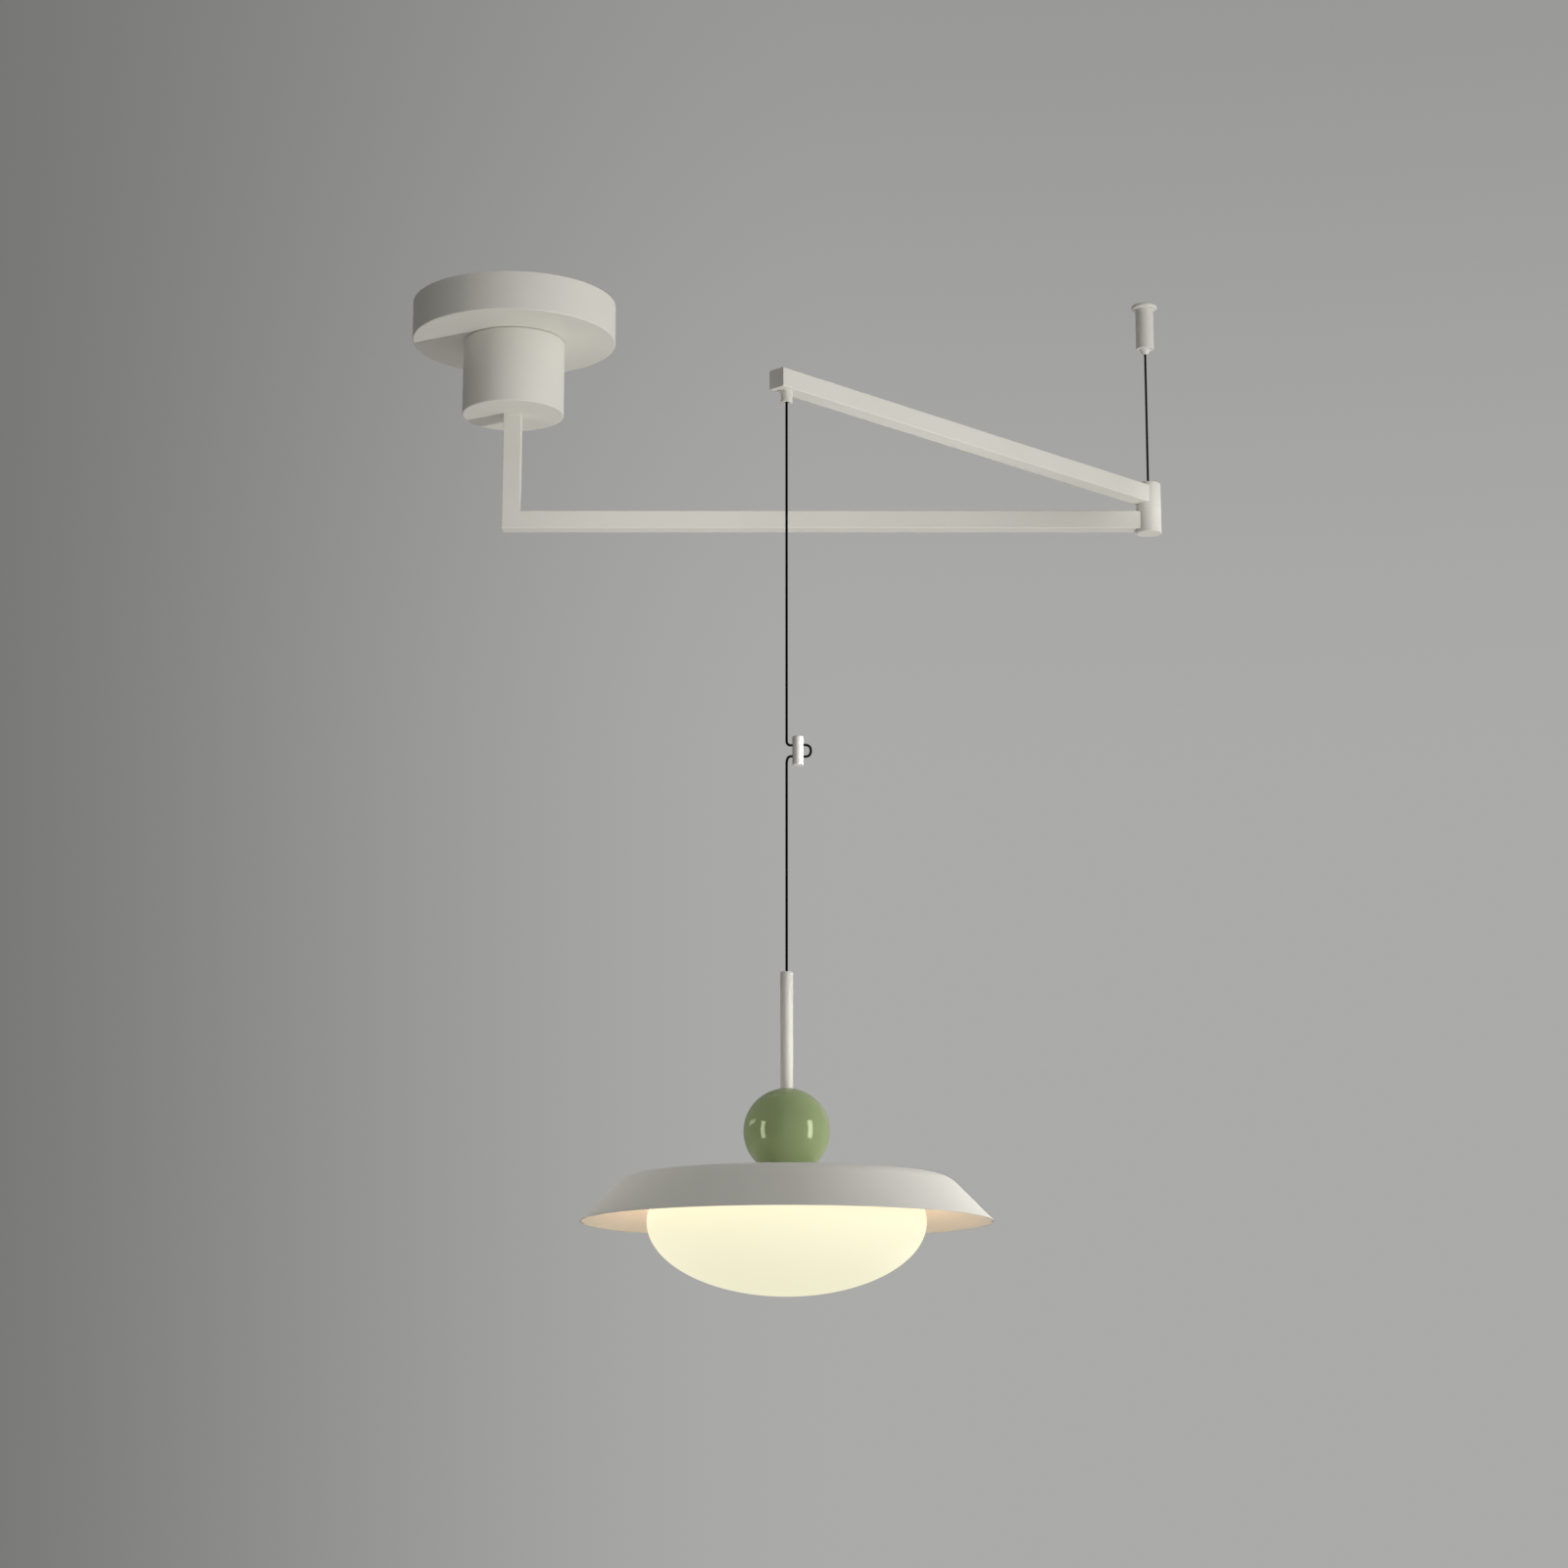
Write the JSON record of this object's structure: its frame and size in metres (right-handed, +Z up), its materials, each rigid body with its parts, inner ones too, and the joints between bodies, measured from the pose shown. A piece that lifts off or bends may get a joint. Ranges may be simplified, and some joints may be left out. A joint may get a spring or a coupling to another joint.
{
  "type": "swing arm pendant light",
  "caption": "Ceiling pendant light on a folding two-part square-tube arm, with a cord height adjuster, a ball-topped spun cone shade and an opal glass bowl.",
  "frame": {"origin": "centre of the ceiling plate's top face, on the ceiling", "axes": "+Z up, +X along the lower arm from hub to elbow, +Y away from the picture's camera"},
  "size_m": [0.85, 0.7249, 1.1464],
  "materials": {
    "white_paint": "satin warm white powder coat",
    "green_paint": "gloss sage green enamel",
    "opal_glass": "opal, satin outside",
    "black_cord": "matt black sheath",
    "plated_steel": "bright zinc plate",
    "brass": "turned",
    "aluminium": "turned",
    "nylon": "moulded",
    "light_board": "white solder mask",
    "light_chip": "phosphor"
  },
  "bodies": {
    "ceiling_base": {"ceiling_plate": "plated_steel", "canopy": "white_paint", "canopy_grub_screws": "plated_steel", "led_driver": "nylon", "terminal_block": "nylon", "pivot_shaft": "plated_steel", "shaft_lock_nut": "plated_steel", "thrust_washer": "nylon", "swivel_nut": "plated_steel", "stop_arm": "plated_steel"},
    "lower_arm": {"hub_shell": "white_paint", "hub_top_plate": "aluminium", "hub_plate_screws": "plated_steel", "swivel_bush": "brass", "stop_pin": "plated_steel", "stem_tube": "white_paint", "stem_flange": "plated_steel", "stem_flange_screws": "plated_steel", "lower_arm_tube": "white_paint", "lower_knuckle": "white_paint", "lower_knuckle_cap": "white_paint", "lower_tenon_screw": "plated_steel", "elbow_pivot": "brass", "elbow_washer": "nylon", "elbow_nut": "plated_steel", "lower_flex": "black_cord", "anchor_base": "plated_steel", "anchor_cap": "white_paint", "gripper_body": "brass", "gripper_balls": "plated_steel", "gripper_spring": "plated_steel", "support_wire": "black_cord", "wire_ferrule": "plated_steel"},
    "nozzle": {"release_nozzle": "white_paint"},
    "upper_arm": {"upper_knuckle": "white_paint", "upper_knuckle_cap": "white_paint", "elbow_bush": "brass", "upper_tenon_screw": "plated_steel", "upper_arm_tube": "white_paint", "arm_end_cap": "white_paint", "cord_gland": "white_paint", "gland_nut": "brass", "upper_flex": "black_cord"},
    "pendant_cord": {"upper_cord": "black_cord", "cord_adjuster": "white_paint"},
    "lower_cord": {"lower_cord": "black_cord"},
    "lamp": {"drop_tube": "white_paint", "cord_lock": "nylon", "lamp_nipple": "brass", "ball": "green_paint", "ball_washer": "nylon", "shade": "white_paint", "gallery_pan": "aluminium", "gallery_screws": "plated_steel", "lamp_washer": "plated_steel", "lamp_nut": "plated_steel", "led_board": "light_board", "led_chips": "light_chip", "lamp_flex": "black_cord", "glass_diffuser": "opal_glass"}
  },
  "joints": [
    {"name": "hub_swivel", "type": "hinge", "parent": "ceiling_base", "child": "lower_arm", "pos_m": [0, 0, -0.049], "axis": [0, 0, 1], "range_deg": [-165, 165]},
    {"name": "nozzle_release", "type": "slide", "parent": "lower_arm", "child": "nozzle", "axis": [0, 0, 1], "range_m": [0, 0.002], "stiffness_N_per_m": 400, "springref_m": -0.003},
    {"name": "elbow_swing", "type": "hinge", "parent": "lower_arm", "child": "upper_arm", "pos_m": [0.72, 0, -0.2414], "axis": [0, 0, 1], "range_deg": [-35, 305]},
    {"name": "cord_swing", "type": "hinge", "parent": "upper_arm", "child": "pendant_cord", "pos_m": [0.31058, -0.40941, -0.2459], "axis": [0, 1, 0], "range_deg": [-20, 20]},
    {"name": "lamp_lift", "type": "slide", "parent": "pendant_cord", "child": "lower_cord", "axis": [0, 0, 1], "range_m": [0, 0.15], "deforming": ["lower_cord"]},
    {"name": "lamp_tilt", "type": "hinge", "parent": "lower_cord", "child": "lamp", "pos_m": [0.31058, -0.40941, -0.835], "axis": [1, 0, 0], "range_deg": [-20, 20]}
  ]
}
